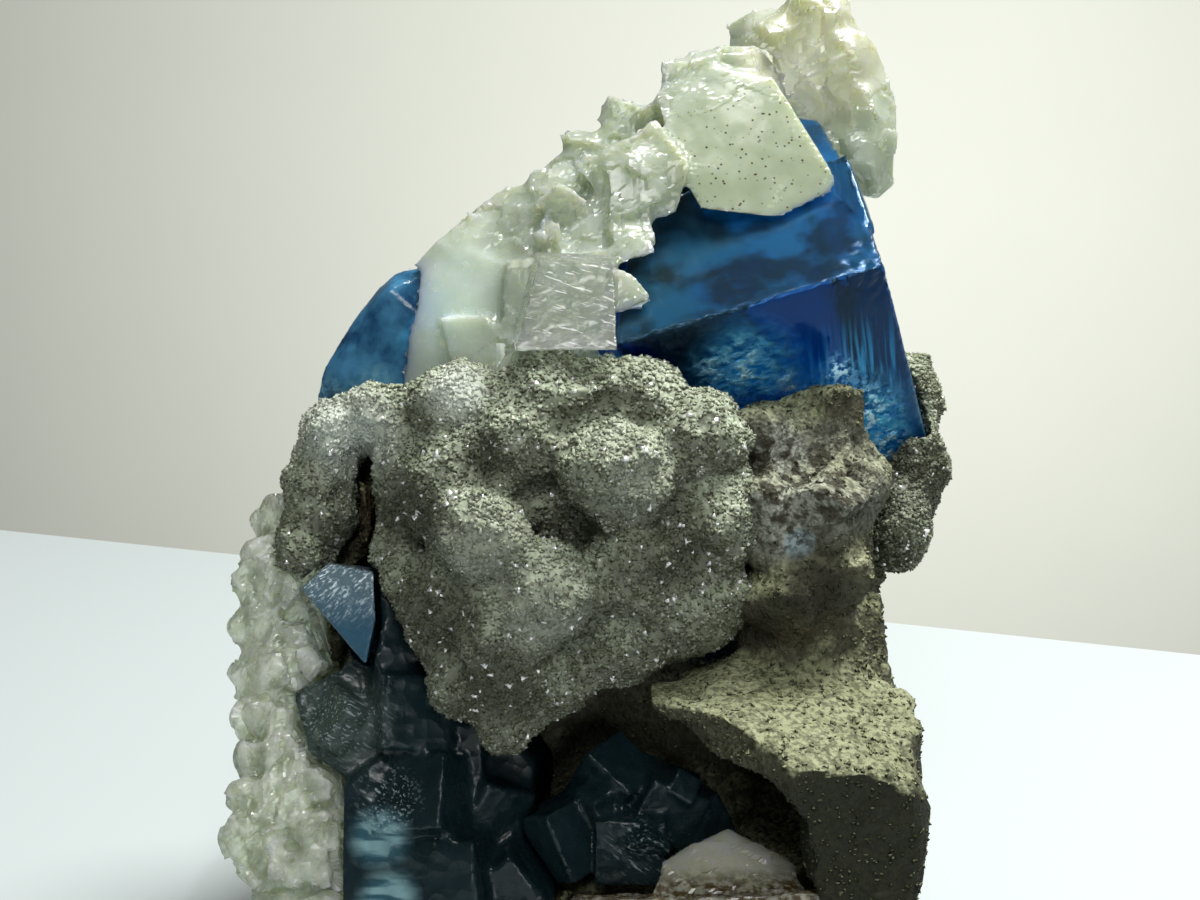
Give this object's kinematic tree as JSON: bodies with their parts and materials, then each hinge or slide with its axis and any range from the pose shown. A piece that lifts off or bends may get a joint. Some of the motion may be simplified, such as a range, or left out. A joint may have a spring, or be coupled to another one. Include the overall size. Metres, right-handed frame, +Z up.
{
  "type": "fluorite crystal specimen",
  "caption": "Deep blue see-through fluorite cube with creamy calcite and a sparkling grey quartz druse on matrix rock, cut flat below so that it stands upright.",
  "frame": {"origin": "on the flat cut underside, at the middle of the foot", "axes": "+Z up out of the flat cut, -Y towards the front that shows the druse, +X towards the specimen's right side as seen from the front, under the large blue cube"},
  "size_m": [0.0393, 0.0379, 0.0532],
  "materials": {
    "fluorite": "clear deep blue crystal, bright where it is fractured",
    "fluorite_dark": "dark teal-blue crystal, nearly black in the hollow",
    "calcite": "milky pale green-cream crystal with fine brown specks",
    "calcite_clear": "clear to frosted colourless crystal with cleavage lines",
    "druse": "sugary grey-olive quartz grains that sparkle",
    "matrix": "rough granular olive-brown rock"
  },
  "bodies": {
    "root": {"matrix_rock": "matrix", "quartz_druse": "druse", "druse_rim": "druse", "fluorite_crown": "fluorite", "fluorite_shoulder": "fluorite", "fluorite_corner": "fluorite", "fluorite_recess": "fluorite_dark", "fluorite_chips": "fluorite_dark", "calcite_ridge": "calcite", "calcite_rhomb": "calcite_clear", "calcite_peak": "calcite", "calcite_frill": "calcite_clear", "calcite_foot": "calcite"}
  },
  "joints": []
}
